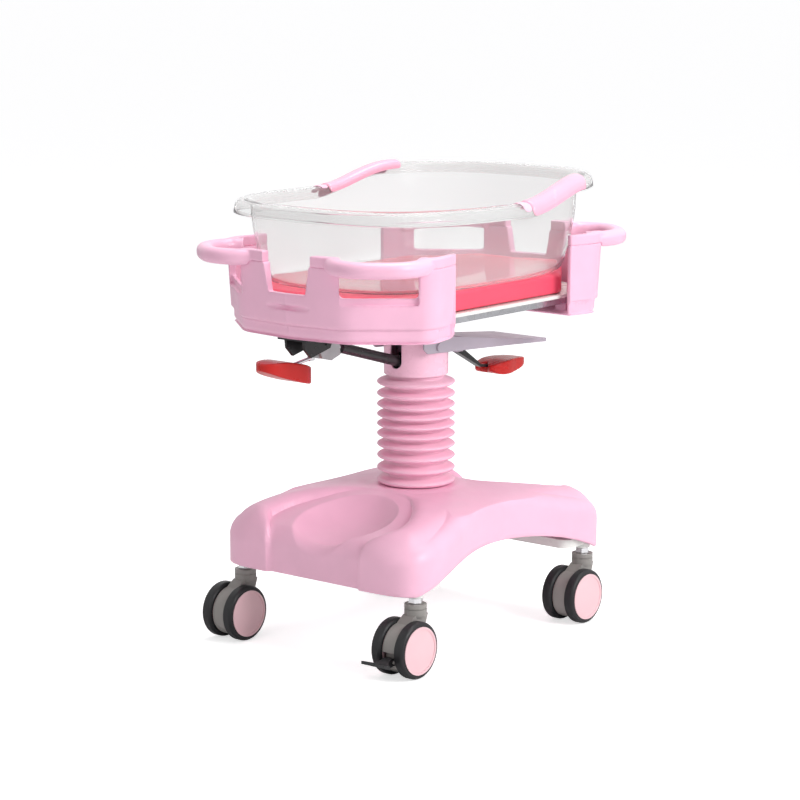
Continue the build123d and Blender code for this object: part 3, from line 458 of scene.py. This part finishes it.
# Half width, half length and height in millimetres, and 1 where the height counts from the rim:
# up the outside, over the rim and down the inside
BASIN = [
    (60, 90, 650.3, 0), (186, 263, 650.3, 0), (196, 271.5, 652.5, 0), (202, 278, 657.3, 0),
    (205.4, 284, 667, 0), (208, 289, 680, 0), (212.5, 294.5, 700, 0), (216, 299, 720, 0),
    (219.5, 303, 745, 0), (221.5, 305, 765, 0), (223, 306.5, -11, 1), (226, 309.5, -5.4, 1),
    (233, 317, -4, 1), (240, 324, -6, 1), (244.4, 328.4, -11, 1), (246.4, 330.4, -18, 1),
    (247.2, 331.2, -24.4, 1), (248.6, 332.6, -25, 1), (250, 334, -24.2, 1), (249.2, 333.2, -17, 1),
    (247, 331, -9, 1), (242.6, 326.6, -3.4, 1), (236, 320, -0.6, 1), (229, 313, 0, 1),
    (224, 308, -1, 1), (220.6, 304.4, -4, 1), (218.4, 302.2, -10, 1), (217.4, 301, -18, 1),
    (217, 300.8, 762, 0), (215, 298.6, 745, 0), (212, 295, 720, 0), (208.5, 290.5, 700, 0),
    (204, 285, 680, 0), (201, 280, 668, 0), (198, 274.5, 661, 0), (191, 267, 656.5, 0),
    (182, 259, 654.3, 0), (60, 90, 654.3, 0),
]


def basin():
    rows = []
    for a, b, z, free in BASIN:
        row = []
        for k in range(BASIN_TURNS):
            x, y = oval_at(a * MM, b * MM, 2 * math.pi * k / BASIN_TURNS)
            row.append((x, y, rim_height(y) + z * MM if free else z * MM))
        rows.append(row)
    o = lofted("basin_tub", rows)
    smooth(o)
    paint(o, clear_acrylic)
    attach(o, "basin_unit")
    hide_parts("basin")


basin()


# Pink grips saddled over the rim's slopes, each with a thin clip at its foot end. Half width, half
# length and height from the rim in millimetres, from the grip's inner edge to its outer one
GRIP_STATIONS, GRIP_ACROSS, GRIP_CORNER, GRIP_BEVEL = 64, 24, 9, 4
SADDLE = [
    (218.6, 302.4, -13), (219.4, 303.2, -6), (222.4, 306.4, -1.4), (228, 312, 0.4), (236, 320, -0.2),
    (243, 327, -3), (247.4, 331.4, -8.6), (249.6, 333.6, -16), (250.6, 334.6, -23),
]


def grip(tag, side, low, high, lift_by, material, trim=0.0):
    a, b, z = (np.array(v, float) for v in zip(*SADDLE))
    arc = np.concatenate([[0], np.cumsum(np.hypot(np.diff(a), np.diff(z)))])
    rows = []
    for k in range(GRIP_STATIONS + 1):
        y = low + (high - low) * k / GRIP_STATIONS
        near = min(y - low, high - y)
        short = GRIP_CORNER - min(near, GRIP_CORNER)
        corner = GRIP_CORNER - math.sqrt(max(0, GRIP_CORNER ** 2 - short ** 2))
        at = np.linspace(corner + trim, arc[-1] - corner - trim, GRIP_ACROSS)
        pa, pb, pz = (np.interp(at, arc, v) for v in (a, b, z))
        x = pa * (1 - (np.abs(y) / pb) ** OVAL_POWER) ** (1 / OVAL_POWER)
        top = rim_height(y * MM) / MM + pz
        tx, tz = np.gradient(x), np.gradient(top)
        size = np.hypot(tx, tz)
        nx, nz = -tz / size, tx / size
        puff = lift_by * np.sin(np.pi * np.linspace(0.06, 0.94, GRIP_ACROSS)) ** 0.35
        puff = puff * math.sqrt(max(0.02, 1 - (1 - min(near / GRIP_BEVEL, 1)) ** 2))
        level = np.full(GRIP_ACROSS, y)
        outer = np.stack([x + nx * puff, level, top + nz * puff], -1)
        inner = np.stack([x + nx * 0.1, level, top + nz * 0.1], -1)[::-1]
        row = np.concatenate([outer, inner]) * (side, 1, 1) * MM
        rows.append([tuple(p) for p in row])
    o = lofted(tag, rows)
    smooth(o, 50)
    paint(o, material)
    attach(o, "basin_unit")
    return o


for tag, side in (("left", -1), ("right", 1)):
    main = grip("grip_" + tag, side, 16, 196, 3.4, pink_grip)
    grip("grip_clip_" + tag, side, -6, 15.6, 1.4, pink_paint, trim=9)
    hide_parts("rim_grip_" + tag)


# Pad: foam block in a vinyl cover, swollen a little by cloth simulation
PAD_SWELL, PAD_CLEAR, PAD_FRAMES = 0.004, 0.0001, 20


def pad():
    low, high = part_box("pad")
    o = link("pad_cushion", N["pad"].data.copy())
    shrink = Matrix.Diagonal((0.985, 0.99, 0.93, 1))
    mid = (low + high) / 2
    o.data.transform(Matrix.Translation(mid) @ shrink @ Matrix.Translation(-mid))
    r = o.modifiers.new("r", "REMESH")
    r.mode = "VOXEL"
    r.voxel_size = 0.005
    s = o.modifiers.new("s", "SMOOTH")
    s.iterations = 3
    baked(o)
    start = np.array([v.co for v in o.data.vertices])
    c = o.modifiers.new("c", "CLOTH")
    c.settings.use_pressure = True
    c.settings.uniform_pressure_force = 4
    c.settings.effector_weights.gravity = 0
    for f in range(1, PAD_FRAMES + 1):
        scene.frame_set(f)
    baked(o)
    scene.frame_set(1)
    now = np.array([v.co for v in o.data.vertices])
    move = now - start
    size = np.linalg.norm(move, axis=1, keepdims=True)
    now = start + move * np.minimum(1, PAD_SWELL / np.maximum(size, 1e-9))
    now = np.clip(now, np.array(low) + PAD_CLEAR, np.array(high) - PAD_CLEAR)
    o.data.vertices.foreach_set("co", now.ravel())
    d = o.modifiers.new("d", "SUBSURF")
    d.levels = d.render_levels = 1
    baked(o)
    smooth(o)
    paint(o, coral)
    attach(o, "bed")
    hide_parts("pad")


pad()


# Finishes of the CAD nodes that stay
FINISH = {
    "base_chassis": white_sheet, "outer_tube": steel, "guide_bush": black_plastic, "column_core": steel,
    "column_sleeve": pink_paint, "lift_spring_cylinder": black_paint, "lift_spring_rod": chrome,
    "lever_arm": grey_paint, "lift_lever": black_paint, "tilt_spring_cylinder": black_paint,
    "tilt_spring_rod": chrome, "tilt_bracket": cast_metal, "tilt_hanger": black_paint, "tilt_lever": chrome,
    "bed_frame": steel, "platform": white_sheet, "brake_pedal_fr": black_plastic,
    "brake_pedal_hl": black_plastic,
}
for tag in ("fl", "fr", "hl", "hr"):
    FINISH["stem_" + tag] = chrome
    FINISH["housing_" + tag] = grey_plastic
    FINISH["axle_" + tag] = chrome
    for w in "ab":
        FINISH[f"tyre_{tag}_{w}"] = tyre_rubber
        FINISH[f"hub_{tag}_{w}"] = cap_plastic
for node, material in FINISH.items():
    paint(N[node], material)
    smooth(N[node], 32)
    b = N[node].modifiers.new("edge", "BEVEL")
    b.width = 0.0006
    b.segments = 2
    b.limit_method = "ANGLE"
    b.angle_limit = math.radians(40)


# Floor: lit by itself a little more where the camera sees it, so that it turns white round the shadow
def stage_floor():
    bm = bmesh.new()
    bmesh.ops.create_grid(bm, x_segments=4, y_segments=4, size=40)
    mesh = bpy.data.meshes.new("floor")
    bm.to_mesh(mesh)
    bm.free()
    o = link("floor", mesh)
    o.location.z = -0.0005
    m, nt, p, out = tree("floor_pale")
    p.inputs["Base Color"].default_value = (0.9, 0.9, 0.9, 1)
    p.inputs["Roughness"].default_value = 0.9
    p.inputs["Specular IOR Level"].default_value = 0.1
    lift = nt.nodes.new("ShaderNodeEmission")
    lift.inputs["Color"].default_value = (1, 1, 1, 1)
    lift.inputs["Strength"].default_value = 0.62
    both = nt.nodes.new("ShaderNodeAddShader")
    nt.links.new(p.outputs[0], both.inputs[0])
    nt.links.new(lift.outputs[0], both.inputs[1])
    path = nt.nodes.new("ShaderNodeLightPath")
    seen = larger(nt, path.outputs["Is Camera Ray"], path.outputs["Is Transmission Ray"])
    nt.links.new(mixed(nt, seen, p.outputs[0], both.outputs[0]), out.inputs["Surface"])
    paint(o, m)


# World: soft grey light, seen as plain white directly, through the basin and in reflections
def sky():
    world = bpy.data.worlds.new("world")
    scene.world = world
    world.use_nodes = True
    nt = world.node_tree
    grey = nt.nodes["Background"]
    grey.inputs["Color"].default_value = (0.95, 0.95, 0.97, 1)
    grey.inputs["Strength"].default_value = 0.4
    white = nt.nodes.new("ShaderNodeBackground")
    white.inputs["Color"].default_value = (1, 1, 1, 1)
    white.inputs["Strength"].default_value = 1.0
    path = nt.nodes.new("ShaderNodeLightPath")
    straight = larger(nt, path.outputs["Is Camera Ray"], path.outputs["Is Transmission Ray"])
    seen = larger(nt, straight, path.outputs["Is Glossy Ray"])
    glow = mixed(nt, seen, grey.outputs[0], white.outputs[0])
    nt.links.new(glow, nt.nodes["World Output"].inputs["Surface"])


LAMP_TARGET = (0, 0, 0.4)


def lamp(name, place, size, power):
    light = bpy.data.lights.new(name, "AREA")
    light.shape = "DISK"
    light.size = size
    light.energy = power
    o = bpy.data.objects.new(name, light)
    scene.collection.objects.link(o)
    o.location = place
    aim(o, Vector(place) - Vector(LAMP_TARGET))


stage_floor()
sky()
lamp("key", (3.6, 0.1, 2.3), 1.8, 96)
lamp("fill", (0.2, -3.6, 2.4), 1.8, 14)
lamp("top", (0.2, 0.5, 3.4), 2.0, 62)
